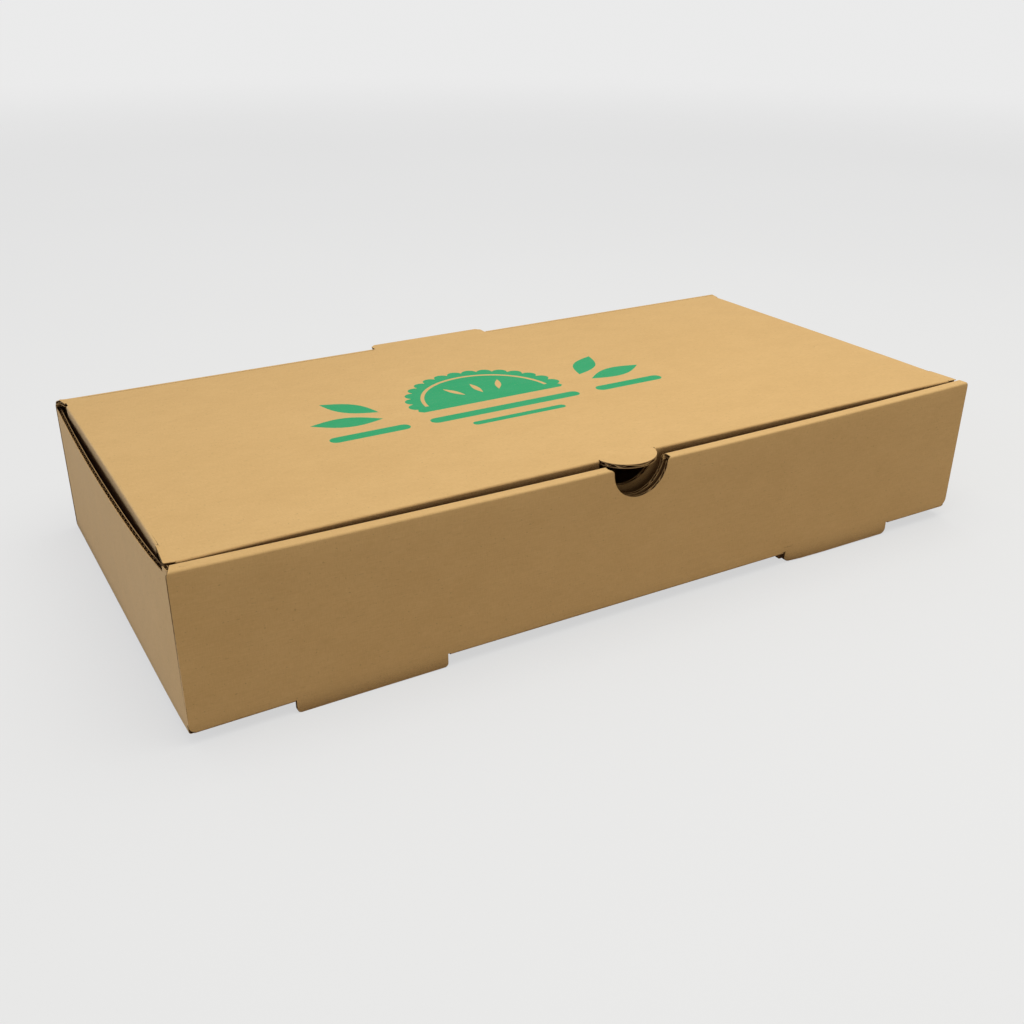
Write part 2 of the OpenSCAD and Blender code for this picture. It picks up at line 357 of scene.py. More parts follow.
class Board:
    """Gathers the layers of folded board that make up one piece."""

    def __init__(self, name, warp):
        self.name = name
        self.warp = warp
        self.points = []
        self.sheet = []
        self.faces = []
        self.kinds = []
        self.count = 0

    def layer(self, flat, place, sheet, low, high, kinds, mirror, ink=()):
        """Adds a closed layer between two depths, each a number or a function of the plan."""
        verts, triangles = flat
        used = np.unique(triangles)
        renumber = np.full(len(verts), -1)
        renumber[used] = np.arange(len(used))
        triangles = renumber[triangles]
        u, v = verts[used, 0], verts[used, 1]
        size = len(used)
        first = self.count
        for depth in (low, high):
            h = depth(u, v) if callable(depth) else np.full(size, depth)
            spots = place(u, v, h)
            where = np.column_stack(sheet(u, v))
            if mirror:
                spots = spots * np.array([-1, 1, 1])
                where = where * np.array([-1, 1])
            self.points.append(self.warp(spots))
            self.sheet.append(where)
        top_kinds = np.full(len(triangles), kinds[0])
        if ink:
            middles = np.column_stack([u, v])[triangles].mean(axis=1)
            top_kinds[inside(middles, ink)] = INK
        self.faces += (triangles + first).tolist()
        self.kinds += top_kinds.tolist()
        self.faces += (triangles[:, ::-1] + first + size).tolist()
        self.kinds += [kinds[1]] * len(triangles)
        sides = np.concatenate([triangles[:, [0, 1]], triangles[:, [1, 2]], triangles[:, [2, 0]]])
        _, index, times = np.unique(
            np.sort(sides, axis=1), axis=0, return_index=True, return_counts=True)
        for a, b in (sides[index[times == 1]] + first).tolist():
            self.faces.append([b, a, a + size, b + size])
            self.kinds.append(kinds[2])
        self.count += 2 * size

    def board(self, loops, place, sheet, u_cuts=(), v_cuts=(), flute_cuts=(), mirror=False, ink=(),
              flute_loops=None):
        """Two liners and the fluted sheet between them, with its waves along v."""
        face = plan(loops, u_cuts, v_cuts, ink)
        self.layer(face, place, sheet, 0.0, LINER, (OUTSIDE, EDGE, EDGE), mirror, ink)
        back = plan(loops, u_cuts, v_cuts) if ink else face
        self.layer(back, place, sheet, BOARD - LINER, BOARD, (EDGE, INSIDE, EDGE), mirror)
        low = min(min(p[1] for p in loop) for loop in loops)
        high = max(max(p[1] for p in loop) for loop in loops)
        step = FLUTE_PITCH / FLUTE_STEPS
        waves = [step * i for i in range(math.ceil(low / step), math.floor(high / step) + 1)]
        waves += [cut for cut in v_cuts if low < cut < high]
        swing = BOARD / 2 - LINER - FLUTE_SHEET / 2

        def wave(offset):
            return lambda u, v: BOARD / 2 + offset + swing * np.sin(2 * np.pi * v / FLUTE_PITCH)

        flutes = plan(flute_loops or loops, flute_cuts, waves)
        half = FLUTE_SHEET / 2
        self.layer(flutes, place, sheet, wave(-half), wave(half), (EDGE, EDGE, EDGE), mirror)

    def build(self, materials):
        mesh = bpy.data.meshes.new(self.name)
        points = np.concatenate(self.points) * MM
        mesh.from_pydata(points.tolist(), [], self.faces)
        layer = mesh.uv_layers.new(name="sheet")
        corners = np.zeros(len(mesh.loops), np.int32)
        mesh.loops.foreach_get("vertex_index", corners)
        spots = (np.concatenate(self.sheet)[corners] * MM).astype(np.float32)
        layer.data.foreach_set("uv", spots.ravel())
        for material in materials:
            mesh.materials.append(material)
        mesh.polygons.foreach_set("material_index", self.kinds)
        return make_piece(mesh, 40)


# How the walls have sprung out of true

def spring(points):
    """Moves the tray's points to where its sprung walls stand."""
    x, y, z = points.T.copy()
    rise = np.clip((z - REACH) / (FRONT_H - REACH), 0, 1.02) ** 1.5
    across = np.clip(1 - (x / HALF_W) ** 2, 0, 1)
    along = np.clip(1 - (y / TUCK_Y) ** 2, 0, 1)
    front = ((FRONT_ZONE - y) / FRONT_FADE).clip(0, 1)
    middle = np.clip(1 - ((x - PRESSED_X) / PRESSED_HALF_W) ** 2, 0, 1)
    behind = np.clip((y + HALF_D) / ROLL_D, 0, 1)
    pressed = (PRESSED * middle - OPEN_END) * behind
    points[:, 1] = y - front * (FRONT_BOW * across + pressed) * rise
    lift = LEFT_RISE * np.exp(-(x + HALF_W) / RISE_FADE)
    lift += RIGHT_RISE * np.exp((x - HALF_W) / RISE_FADE)
    points[:, 2] = z + front * (lift - FRONT_SAG * across) * rise
    pulled = PULLED_IN * np.exp(-np.abs(y + HALF_D) / CORNER_FADE) * rise
    pulled *= (x < -SIDE_ZONE) & (y > BEHIND_FACE)
    bulge = np.where(np.abs(x) > SIDE_ZONE, np.sign(x) * SIDE_BOW * along * rise, 0)
    height = (z / FRONT_H).clip(0, 1)
    right = RIGHT_SPREAD_FOOT + (RIGHT_SPREAD_TOP - RIGHT_SPREAD_FOOT) * height
    right = right * np.exp(-(y + HALF_D).clip(0) / SPREAD_FADE)
    left = -LEFT_SPREAD * (1 - np.exp(-(y + HALF_D).clip(0) / CORNER_FADE))
    spread_out = np.where(x < 0, left, right) * (x / HALF_W) ** 6
    points[:, 0] = x + bulge + pulled + spread_out
    sunk = CORNER_SUNK * np.exp(
        -(x + HALF_W).clip(0) / SUNK_FADE[0] - (y + HALF_D).clip(0) / SUNK_FADE[1])
    points[:, 2] -= sunk * (1 - height)
    end = ((RIGHT_FOOT[0] + CURL_L - x) / CURL_L).clip(0, 1)
    end *= (x > RIGHT_FOOT[0] - 0.1) & (y < BEHIND_FACE)
    points[:, 1] += FOOT_CURL * end ** 2 * ((3 - z) / 7).clip(0, 1)
    return points


def droop(points):
    """Lets the lid's front edge and corners sink and its sides spread."""
    x, y, z = points.T.copy()
    back = (y - LID_FRONT_Y).clip(0)
    left = LEFT_DROOP * np.exp(-(x + HALF_W) / 35 - back / 45) - 0.12 * (-160 - x).clip(0)
    right = RIGHT_DROOP * np.exp((x - HALF_W) / 14 - back / 12)
    points[:, 2] = z - LID_SAG * np.exp(-back / 45) - left - right
    side = np.abs(x) > 150
    wider = LID_SPREAD * (back / EAR_L).clip(0, 1) * side
    limit = np.maximum(np.abs(x), EAR_X)
    points[:, 0] = np.sign(x) * np.minimum(np.abs(x) + wider, limit)
    return points


def run_along_x(path, offset):
    """Place and blank coordinates for board whose section is drawn in Y and Z."""
    def place(u, v, h):
        section = path.place(v, h)
        return np.column_stack([u, section[:, 0], section[:, 1]])

    def sheet(u, v):
        return u, offset + v
    return place, sheet


# The tray

tray = Board("tray_board", spring)
across_cuts = spread(-HALF_W, HALF_W, 12.0)
coarse_cuts = spread(-HALF_W, HALF_W, 27.0)

# Inner panel, rolled top and front face
roll = FoldPath(
    (INNER_Y, 0), 90,
    [("run", FRONT_H - FOLD_R), ("bend", 90), ("run", ROLL_D - 2 * FOLD_R), ("bend", 90),
     ("run", FRONT_H - 2 * FOLD_R)])
panel_top, strip_back, strip_front, face_top, face_foot = roll.stops[1:6]
panel_foot = BOARD + LAYER_GAP
notch_centre = FRONT_H - NOTCH_DEPTH + NOTCH_R


def notch_half_width(height):
    """Half the width of the finger notch where its rounded lip begins and above."""
    rise = max(0.0, height - (FRONT_H - NOTCH_LIP))
    return NOTCH_R + NOTCH_LIP - math.sqrt(max(0.0, NOTCH_LIP ** 2 - rise ** 2))


lip_foot = FRONT_H - NOTCH_LIP
bowl = [(x, z) for x, z in arc((0, notch_centre), NOTCH_R, 270, 360, 26) if z < lip_foot - 0.2]
lip = [(notch_half_width(z), z) for z in np.linspace(lip_foot, panel_top, 4)[:-1]]
turned = [
    (notch_half_width(panel_top + FOLD_R * math.sin(math.radians(a))),
     panel_top + FOLD_R * math.radians(a)) for a in range(0, 91, 15)]
half = bowl + lip + turned
right_side = half + [(x, panel_top + face_top - v) for x, v in reversed(half)]
notch = right_side + [(-x, v) for x, v in reversed(right_side[1:-1])]
notch = [(x + NOTCH_X, v) for x, v in notch]

front_corners = [(-PANEL_HALF_W, panel_foot)]
for left, right in LOCKS:
    front_corners += [
        (left, panel_foot),
        (left, -LOCK_DROP, 1.0),
        (right, -LOCK_DROP, 1.0),
        (right, panel_foot)]
face_end = face_foot + FOLD_R
face_low = face_end - 0.7
front_corners += [
    (PANEL_HALF_W, panel_foot),
    (PANEL_HALF_W, panel_top - 1.5),
    (STRIP_RIGHT, panel_top - 1.5),
    (STRIP_RIGHT, strip_front),
    (HALF_W, face_top + 0.6, 0.8),
    (HALF_W, face_low, RIGHT_DIE_R),
    (PANEL_HALF_W, face_low),
    (PANEL_HALF_W, face_foot)]
foot_end = face_end + FOOT_DROP
for left, right, radius in ((*RIGHT_FOOT, RIGHT_FOOT_R), (*LEFT_FOOT, LEFT_FOOT_R)):
    front_corners += [
        (right, face_foot),
        (right, foot_end, radius),
        (left, foot_end, radius),
        (left, face_foot)]
front_corners += [
    (-PANEL_HALF_W, face_foot),
    (-PANEL_HALF_W, face_low),
    (-HALF_W, face_low, LEFT_DIE_R),
    (-HALF_W, face_top + 0.3, 0.9),
    (STRIP_LEFT_FRONT, strip_front),
    (STRIP_LEFT_BACK, strip_back),
    (STRIP_LEFT_BACK, panel_top - 1.5),
    (-PANEL_HALF_W, panel_top - 1.5)]
place, sheet = run_along_x(roll, -face_foot)
tray.board(
    [outline(front_corners), notch], place, sheet, across_cuts,
    roll.cuts + spread(panel_foot, panel_top, 8) + spread(face_top, face_foot, 8),
    flute_cuts=coarse_cuts)

# The crushed ends of the front face
end_high = face_top + END_TOP_GAP
for x, radius in ((-HALF_W + 0.1, LEFT_DIE_R), (HALF_W - 0.1, RIGHT_DIE_R)):
    end_low = face_low - radius - 0.1
    end_strip = [
        (x - 0.12, end_high),
        (x + 0.12, end_high),
        (x + 0.12, end_low),
        (x - 0.12, end_low)]
    cuts = spread(end_high, end_low, 8)
    kinds = (OUTSIDE, OUTSIDE, OUTSIDE)
    tray.layer(plan([end_strip], (), cuts), place, sheet, 0.0, BOARD + 0.4, kinds, False)

# Front bend, base, back wall and hinge strip
hinge_rise = LID_TOP - SIDE_H
hinge_heading = math.degrees(math.atan2(hinge_rise, HINGE_Y - HALF_D))
hinge_bend = hinge_heading - 90
hinge_reach = FOLD_R * math.tan(math.radians(hinge_bend / 2))
around = FoldPath(
    (-HALF_D, FOLD_R), 270,
    [("bend", 90), ("run", 2 * (HALF_D - FOLD_R)), ("bend", 90),
     ("run", SIDE_H - FOLD_R - hinge_reach), ("bend", hinge_bend),
     ("run", math.hypot(hinge_rise, HALF_D - HINGE_Y) - hinge_reach)])
base_front, base_rear, back_foot, back_top, _, hinge_end = around.stops[1:7]
base_half_w = HALF_W - FOLD_R
slot_end = base_front + (INNER_Y + SLOT_GAP) - (-HALF_D + FOLD_R)
slot_half_w = FOOT_HALF_W + SLOT_GAP
slots = (
    (-FOOT_X - slot_half_w, -FOOT_X + slot_half_w),
    (RIGHT_LOCK_LEFT - SLOT_GAP, FOOT_X + slot_half_w))
vent_foot = back_top - (SIDE_H - hinge_reach - VENT_FLOOR)
base_corners = [(-PANEL_HALF_W, 0)]
for left, right in slots:
    base_corners += [
        (left, 0),
        (left, slot_end),
        (right, slot_end),
        (right, 0)]
base_corners += [
    (PANEL_HALF_W, 0),
    (PANEL_HALF_W, base_front),
    (base_half_w, base_front),
    (base_half_w, base_rear),
    (PANEL_HALF_W, base_rear),
    (PANEL_HALF_W, back_foot - 0.6),
    (HALF_W, back_foot - 0.6, 0.8),
    (HALF_W, hinge_end, 1.0),
    (VENT_HALF_W, hinge_end, 0.6),
    (VENT_HALF_W, vent_foot, 0.8),
    (-VENT_HALF_W, vent_foot, 0.8),
    (-VENT_HALF_W, hinge_end, 0.6),
    (-HALF_W, hinge_end, 1.0),
    (-HALF_W, back_foot - 0.6, 0.8),
    (-PANEL_HALF_W, back_foot - 0.6),
    (-PANEL_HALF_W, base_rear),
    (-base_half_w, base_rear),
    (-base_half_w, base_front),
    (-PANEL_HALF_W, base_front)]
place, sheet = run_along_x(around, 0.0)
tray.board([outline(base_corners)], place, sheet, (), around.cuts, flute_cuts=())

# Side walls, drawn for the left and mirrored
side = FoldPath((-HALF_W, FRONT_H), 270, [("run", FRONT_H - FOLD_R), ("bend", 90)])
side_end = side.stops[2]
bend_half_d = HALF_D - FOLD_R
wall_half_d = TUCK_Y - FOLD_R
bend_top = FRONT_H - TUCK_FOOT


def side_loop(corner_top, sunk=0.0):
    """Side wall with its bottom bend. Its front corner may stand higher than the rest."""
    return outline([
        (FRONT_H - corner_top + sunk, -wall_half_d),
        (FRONT_H - corner_top + sunk, -TUCK_Y + CORNER_L, 0.05),
        (FRONT_H - SIDE_H + sunk, -TUCK_Y + CORNER_L + 0.01),
        (FRONT_H - SIDE_H + sunk, wall_half_d),
        (bend_top, wall_half_d),
        (bend_top, bend_half_d),
        (side_end, bend_half_d),
        (side_end, -bend_half_d),
        (bend_top, -bend_half_d),
        (bend_top, -wall_half_d)])


def side_place(u, v, h):
    section = side.place(u, h)
    return np.column_stack([section[:, 0], v, section[:, 1]])


def side_sheet(u, v):
    return u - side_end - base_half_w, v + HALF_D


# Corner flaps at both ends of a side wall
front_tuck = FoldPath((-HALF_W, -wall_half_d), 270, [("bend", 90), ("run", TUCK_L - FOLD_R)])
rear_tuck = FoldPath((-HALF_W + TUCK_L, TUCK_Y), 180, [("run", TUCK_L - FOLD_R), ("bend", 90)])
tuck_end = front_tuck.stops[2]


def tuck_loop(top, flip):
    corners = [
        (TUCK_FOOT, 0),
        (top, 0),
        (top, QUARTER),
        (SIDE_H - 2.0, QUARTER),
        (SIDE_H - 2.0 - TUCK_SLOPE, tuck_end, 3.0),
        (TUCK_FOOT + TUCK_SLOPE, tuck_end, 1.5),
        (TUCK_FOOT, tuck_end - TUCK_SLOPE, 1.5)]
    if flip:
        corners = [(c[0], tuck_end - c[1], *c[2:]) for c in corners]
    return outline(corners)


def tuck_place(path):
    def place(u, v, h):
        section = path.place(v, h)
        return np.column_stack([section[:, 0], section[:, 1], u])
    return place


def tuck_sheet(start):
    def sheet(u, v):
        return -base_half_w - QUARTER - (u - FOLD_R), start - v
    return sheet


for mirror, corner_top in ((False, CORNER_H), (True, SIDE_H + 0.02)):
    tray.board(
        [side_loop(corner_top)], side_place, side_sheet, side.cuts + spread(5, bend_top, 8),
        spread(-bend_half_d, bend_half_d, 9), flute_cuts=side.cuts + [14, 28, 42], mirror=mirror,
        flute_loops=[side_loop(corner_top, FLUTE_SUNK)])
    tray.board(
        [tuck_loop(corner_top, False)], tuck_place(front_tuck), tuck_sheet(HALF_D - wall_half_d),
        spread(0, FRONT_H, 8), front_tuck.cuts + spread(QUARTER, tuck_end, 8),
        flute_cuts=spread(0, FRONT_H, 14), mirror=mirror)
    tray.board(
        [tuck_loop(SIDE_H, True)], tuck_place(rear_tuck), tuck_sheet(HALF_D + wall_half_d + tuck_end),
        spread(0, FRONT_H, 14), rear_tuck.cuts, flute_cuts=spread(0, FRONT_H, 20), mirror=mirror)


# The lid

lid = Board("lid_board", droop)
front_bend = 90 + FRONT_LEAN
front_reach = FOLD_R * math.tan(math.radians(front_bend / 2))
top = FoldPath(
    (LID_REAR_Y, LID_TOP), 180,
    [("run", LID_REAR_Y - LID_FRONT_Y - front_reach), ("bend", front_bend),
     ("run", FRONT_FLAP_H / math.cos(math.radians(FRONT_LEAN)) - front_reach)])
crease_rear, crease_front, flap_end = top.stops[1:4]
side_bend = 90 + SIDE_LEAN
side_reach = FOLD_R * math.tan(math.radians(side_bend / 2))
flat_x = LID_HALF_W - side_reach
front_half_w = LID_HALF_W - REACH
hang = (flap_end - crease_front) * FLAP_TAPER

hole_half_w = THUMB_HALF_W + THUMB_HOLE_GAP
hole_end = crease_front + THUMB_L + THUMB_HOLE_MORE
hole_r = THUMB_R + THUMB_HOLE_GAP
hole_side = math.degrees(math.acos(hole_half_w / hole_r))
thumb_hole = [(-hole_half_w, crease_rear), (hole_half_w, crease_rear)]
thumb_hole += arc((0, hole_end - hole_r), hole_r, hole_side, 180 - hole_side, 24)
thumb_hole = [(x + THUMB_X, v) for x, v in thumb_hole]

tongue_end = LID_REAR_Y - TONGUE_Y
lid_loop = outline([
    (-flat_x, 0),
    (-TONGUE_HALF_W, 0),
    (-TONGUE_HALF_W, tongue_end + TONGUE_CUT),
    (-TONGUE_HALF_W + TONGUE_CUT, tongue_end),
    (TONGUE_HALF_W - TONGUE_CUT, tongue_end),
    (TONGUE_HALF_W, tongue_end + TONGUE_CUT),
    (TONGUE_HALF_W, 0),
    (flat_x, 0),
    (flat_x, crease_rear),
    (front_half_w, crease_rear),
    (front_half_w, crease_front),
    (front_half_w - hang, flap_end, 3.0),
    (-front_half_w + hang, flap_end, 3.0),
    (-front_half_w, crease_front),
    (-front_half_w, crease_rear),
    (-flat_x, crease_rear)])


def lid_place(u, v, h):
    section = top.place(v, h)
    return np.column_stack([u, section[:, 0], section[:, 1]])


def flat_place(u, v, h):
    return np.column_stack([u, LID_REAR_Y - v, LID_TOP - h])


def lid_sheet(u, v):
    return u, hinge_end + v


# Printed shapes: a crimped half-moon between leaves, with bars below it

PRINT_X = -14.0
PRINT_Y = -2.0
PRINT_SCALE = 1.07


def printed(loop):
    """Moves a shape drawn about the middle of the print, as seen from the front, to the lid's plan."""
    return [(PRINT_X + x * PRINT_SCALE, LID_REAR_Y - PRINT_Y - y * PRINT_SCALE) for x, y in loop]


def leaf(cx, cy, length, width, angle):
    """Outline of a leaf with a point at both ends."""
    c, s = math.cos(math.radians(angle)), math.sin(math.radians(angle))
    upper = [(length * (t / 10 - 0.5), width / 2 * math.sin(math.pi * t / 10)) for t in range(0, 11)]
    lower = [(x, -y) for x, y in reversed(upper[1:-1])]
    return [(cx + x * c - y * s, cy + x * s + y * c) for x, y in upper + lower]


def bar(cx, cy, length, width):
    r = width / 2
    left, right = cx - length / 2 + r, cx + length / 2 - r
    return arc((right, cy), r, -90, 90, 8) + arc((left, cy), r, 90, 270, 8)


def half_moon():
    """A filled half-moon with a crimped rim, a seam inside it and three slits."""
    rim = []
    crimps = 15
    radius = 29.0
    for i in range(crimps):
        middle = math.radians(180 * (i + 0.5) / crimps)
        centre = (radius * math.cos(middle), radius * math.sin(middle))
        outward = math.degrees(middle)
        rim += arc(centre, radius * math.pi / crimps / 2, outward - 80, outward + 80, 7)
    rim += [(-radius - 1.5, -2.0), (-radius, -3.6), (radius, -3.6), (radius + 1.5, -2.0)]
    seam = arc((0, 0), 26.0, 4, 176, 40) + arc((0, 0), 24.6, 176, 4, 40)
    slits = [leaf(x, 11.0, 11.0, 2.4, angle) for x, angle in ((-9.5, 115), (0, 90), (9.5, 65))]
    return [rim, seam] + slits


ink = [printed(loop) for loop in half_moon()]
ink += [printed(bar(0, -13.0, 62.0, 5.0))]
ink += [printed(bar(0, -22.5, 38.0, 3.2))]
for sign in (-1, 1):
    ink += [printed(leaf(sign * 51, 14, 24, 9.0, 90 - sign * 42))]
    ink += [printed(leaf(sign * 57, 1, 26, 9.5, 90 - sign * 78))]
    ink += [printed(bar(sign * 54, -13.0, 30.0, 5.0))]

lid_cuts = spread(-flat_x, flat_x, 9.0)
lid_rows = top.cuts + spread(0, crease_rear, 10)
lid.board(
    [lid_loop, thumb_hole], lid_place, lid_sheet, lid_cuts, lid_rows, flute_cuts=lid_cuts[::2], ink=ink)

# Thumb tab and corner ears stay in the plane of the lid
tab_end = crease_rear + front_reach + THUMB_L
tab_side = math.degrees(math.acos(min(1, THUMB_HALF_W / THUMB_R)))
thumb_tab = [(-THUMB_HALF_W, crease_rear), (THUMB_HALF_W, crease_rear)]
thumb_tab += arc((0, tab_end - THUMB_R), THUMB_R, tab_side, 180 - tab_side, 24)
thumb_tab = [(x + THUMB_X, v) for x, v in thumb_tab]
lid.board([thumb_tab], flat_place, lid_sheet, lid_cuts, lid_rows)

for sign in (-1, 1):
    ear_front = LID_REAR_Y - LID_FRONT_Y
    ear = outline([
        (sign * flat_x, ear_front - EAR_L),
        (sign * LID_HALF_W, ear_front - EAR_L),
        (sign * EAR_X + (sign > 0) * RIGHT_EAR_OUT, ear_front, 0.5),
        (sign * front_half_w, ear_front),
        (sign * front_half_w, crease_rear),
        (sign * flat_x, crease_rear)])
    lid.board([ear], flat_place, lid_sheet, lid_cuts, lid_rows)
    rear = outline([
        (sign * flat_x, 0),
        (sign * (EAR_X - REAR_EAR_IN), 0, 0.5),
        (sign * LID_HALF_W, REAR_EAR_L),
        (sign * flat_x, REAR_EAR_L)])
    lid.board([rear], flat_place, lid_sheet, lid_cuts, lid_rows)

# Side flaps, drawn for the left and mirrored
drop = FoldPath(
    (-flat_x, LID_TOP), 180,
    [("bend", side_bend), ("run", SIDE_FLAP_H / math.cos(math.radians(SIDE_LEAN)) - side_reach)])
drop_top, drop_end = drop.stops[1:3]
flap_hang = (drop_end - drop_top) * FLAP_TAPER
flap_loop = outline([
    (0, SIDE_FLAP_FRONT),
    (drop_top, SIDE_FLAP_FRONT),
    (drop_end, SIDE_FLAP_FRONT + flap_hang, 3.0),
    (drop_end, SIDE_FLAP_REAR - flap_hang, 3.0),
    (drop_top, SIDE_FLAP_REAR),
    (0, SIDE_FLAP_REAR)])


def drop_place(u, v, h):
    section = drop.place(u, h)
    return np.column_stack([section[:, 0], v, section[:, 1]])


def drop_sheet(u, v):
    return -flat_x - u, hinge_end + LID_REAR_Y - v


for mirror in (False, True):
    lid.board(
        [flap_loop], drop_place, drop_sheet, drop.cuts, spread(-HALF_D, HALF_D, 17),
        flute_cuts=drop.cuts, mirror=mirror)


# Crease of the hinge: a strip of liner that bends across it

RIBBON_TOP = 0.06
RIBBON_UNDER = -0.12


def crease_ribbon(name, x_low, x_high, material):
    """A thin strip that lies on the lid and on the hinge strip, both sides of their crease."""
    slope = math.radians(hinge_heading - 180)
    stations = [-1.3, -0.9, -0.6, -0.4, -0.2, 0.0, 0.2, 0.4, 0.6, 0.9, 1.3]
    rows = []
    for lift in (RIBBON_TOP, RIBBON_UNDER):
        for s in stations:
            if s <= 0:
                rows.append((HINGE_Y + s, LID_TOP + lift))
            else:
                rows.append((HINGE_Y + s * math.cos(slope) - lift * math.sin(slope),
                             LID_TOP + s * math.sin(slope) + lift * math.cos(slope)))
    xs = spread(x_low, x_high, 12.0)
    count = len(stations)
    points = [(x * MM, y * MM, z * MM) for x in xs for y, z in rows]
    faces = []
    ring = list(range(count)) + list(range(2 * count - 1, count - 1, -1))
    for i in range(len(xs) - 1):
        a, b = i * 2 * count, (i + 1) * 2 * count
        for j in range(len(ring)):
            p, q = ring[j], ring[(j + 1) % len(ring)]
            faces.append((a + p, a + q, b + q, b + p))
    for base in (0, (len(xs) - 1) * 2 * count):
        for j in range(count - 1):
            faces.append((base + j, base + j + 1, base + count + j + 1, base + count + j))
    mesh = bpy.data.meshes.new(name)
    mesh.from_pydata(points, [], faces)
    layer = mesh.uv_layers.new(name="sheet")
    for loop in mesh.loops:
        x, y, _ = mesh.vertices[loop.vertex_index].co
        layer.data[loop.index].uv = (x, hinge_end * MM + LID_REAR_Y * MM - y)
    mesh.materials.append(material)
    return make_piece(mesh, 50)


# Materials

class Nodes:
    """Shorthand for building the node tree of a material or a world."""

    def __init__(self, owner):
        owner.use_nodes = True
        self.owner = owner
        self.tree = owner.node_tree
        self.tree.nodes.clear()

    def add(self, kind, inputs=(), **settings):
        node = self.tree.nodes.new(kind)
        for key, value in settings.items():
            setattr(node, key, value)
        for key, value in dict(inputs).items():
            if isinstance(value, bpy.types.NodeSocket):
                self.tree.links.new(value, node.inputs[key])
            else:
                node.inputs[key].default_value = value
        return node

    def math(self, operation, a, b=0.0):
        return self.add("ShaderNodeMath", {0: a, 1: b}, operation=operation).outputs[0]

    def noise(self, vector, stretch, detail=2.0, rough=0.5):
        moved = self.add("ShaderNodeMapping", {"Vector": vector, "Scale": stretch}).outputs[0]
        node = self.add(
            "ShaderNodeTexNoise", {"Vector": moved, "Scale": 1.0, "Detail": detail, "Roughness": rough})
        return node.outputs["Fac"]

    def window(self, value, low, high, to_low=0.0, to_high=1.0):
        return self.add(
            "ShaderNodeMapRange",
            {"Value": value, "From Min": low, "From Max": high, "To Min": to_low, "To Max": to_high},
            interpolation_type="SMOOTHSTEP").outputs[0]

    def mix(self, factor, a, b, kind="MIX"):
        node = self.add("ShaderNodeMix", {0: factor, 6: a, 7: b}, data_type="RGBA", blend_type=kind)
        return node.outputs[2]


# Painted shade: how far the occlusion looks, and the warm brown that creases, gaps and recesses are
# darkened towards
PAINTED_SHADE_REACH = 0.009
PAINTED_SHADE_TINT = (0.12, 0.06, 0.02)


def board_material(name, colour, dark, light, roughness, ink=None):
    """Kraft paper with fibres, specks, blotches and the flutes faintly showing through, darkened by
    painted shade in creases, gaps and recesses.
    """
    n = Nodes(bpy.data.materials.new(name))
    sheet = n.add("ShaderNodeUVMap", uv_map="sheet").outputs[0]
    blotch = n.noise(sheet, (9, 13, 1), 3.0)
    cloud = n.noise(sheet, (70, 110, 1), 3.0)
    fibre = n.noise(sheet, (2600, 420, 1), 3.0, 0.6)
    streak = n.noise(sheet, (230, 2300, 1), 2.0, 0.6)
    speck = n.noise(sheet, (900, 1100, 1), 1.0)
    fleck = n.noise(sheet, (380, 1900, 1), 1.0)
    tone = n.math("ADD", n.math("MULTIPLY", blotch, 0.20), n.math("MULTIPLY", cloud, 0.20))
    tone = n.math("ADD", tone, n.math("MULTIPLY", fibre, 0.30))
    tone = n.math("ADD", tone, n.math("MULTIPLY", streak, 0.30))
    paper = n.mix(n.window(tone, 0.30, 0.70), (*dark, 1), (*light, 1))
    if ink:
        cover = n.window(n.noise(sheet, (1500, 1500, 1), 2.0), 0.30, 0.40, 0.86, 1.0)
        paper = n.mix(cover, paper, (*ink, 1))
    spots = n.window(speck, 0.70, 0.76, 0.0, 0.42)
    flecks = n.window(fleck, 0.69, 0.76, 0.0, 0.30)
    worn = n.math("MAXIMUM", spots, flecks)
    paper = n.mix(worn, paper, tuple(0.55 * c for c in colour) + (1,))
    # Painted shade: ambient occlusion darkens creases, folds, gaps and the finger notch, multiplied
    # into the paper colour
    painted_shade_ao = n.add(
        "ShaderNodeAmbientOcclusion", {"Distance": PAINTED_SHADE_REACH}, samples=3).outputs["AO"]
    shade = n.mix(n.window(painted_shade_ao, 0.28, 0.80), (*PAINTED_SHADE_TINT, 1), (1, 1, 1, 1))
    paper = n.mix(1.0, paper, shade, "MULTIPLY")
    height = n.math("ADD", n.math("MULTIPLY", fibre, 0.5), n.math("MULTIPLY", streak, 0.4))
    across = n.add("ShaderNodeSeparateXYZ", {0: sheet}).outputs[1]
    ripple = n.math("SINE", n.math("MULTIPLY", across, 2 * math.pi / (FLUTE_PITCH * MM)))
    height = n.math("ADD", height, n.math("MULTIPLY", ripple, 0.35))
    bump = n.add(
        "ShaderNodeBump", {"Height": height, "Strength": 0.25, "Distance": 0.00008}).outputs[0]
    rough = n.window(cloud, 0.3, 0.7, roughness - 0.04, roughness + 0.04)
    shader = n.add(
        "ShaderNodeBsdfPrincipled",
        {"Base Color": paper, "Roughness": rough, "Normal": bump, "Specular IOR Level": 0.25,
         "IOR": 1.45})
    n.add("ShaderNodeOutputMaterial", {"Surface": shader.outputs[0]})
    return n.owner


KRAFT = (0.67, 0.43, 0.185)
kraft_out = board_material(
    "kraft_outside", KRAFT, (0.62, 0.39, 0.16), (0.72, 0.47, 0.21), 0.80)
kraft_in = board_material(
    "kraft_inside", KRAFT, (0.58, 0.365, 0.15), (0.68, 0.44, 0.19), 0.84)
kraft_edge = board_material(
    "kraft_edge", (0.50, 0.31, 0.13), (0.44, 0.27, 0.11), (0.56, 0.35, 0.15), 0.88)
green_ink = board_material(
    "green_ink", (0.02, 0.24, 0.10), (0.45, 0.30, 0.12), (0.55, 0.38, 0.15), 0.62,
    ink=(0.020, 0.345, 0.140))
materials = [kraft_out, kraft_in, kraft_edge, green_ink]

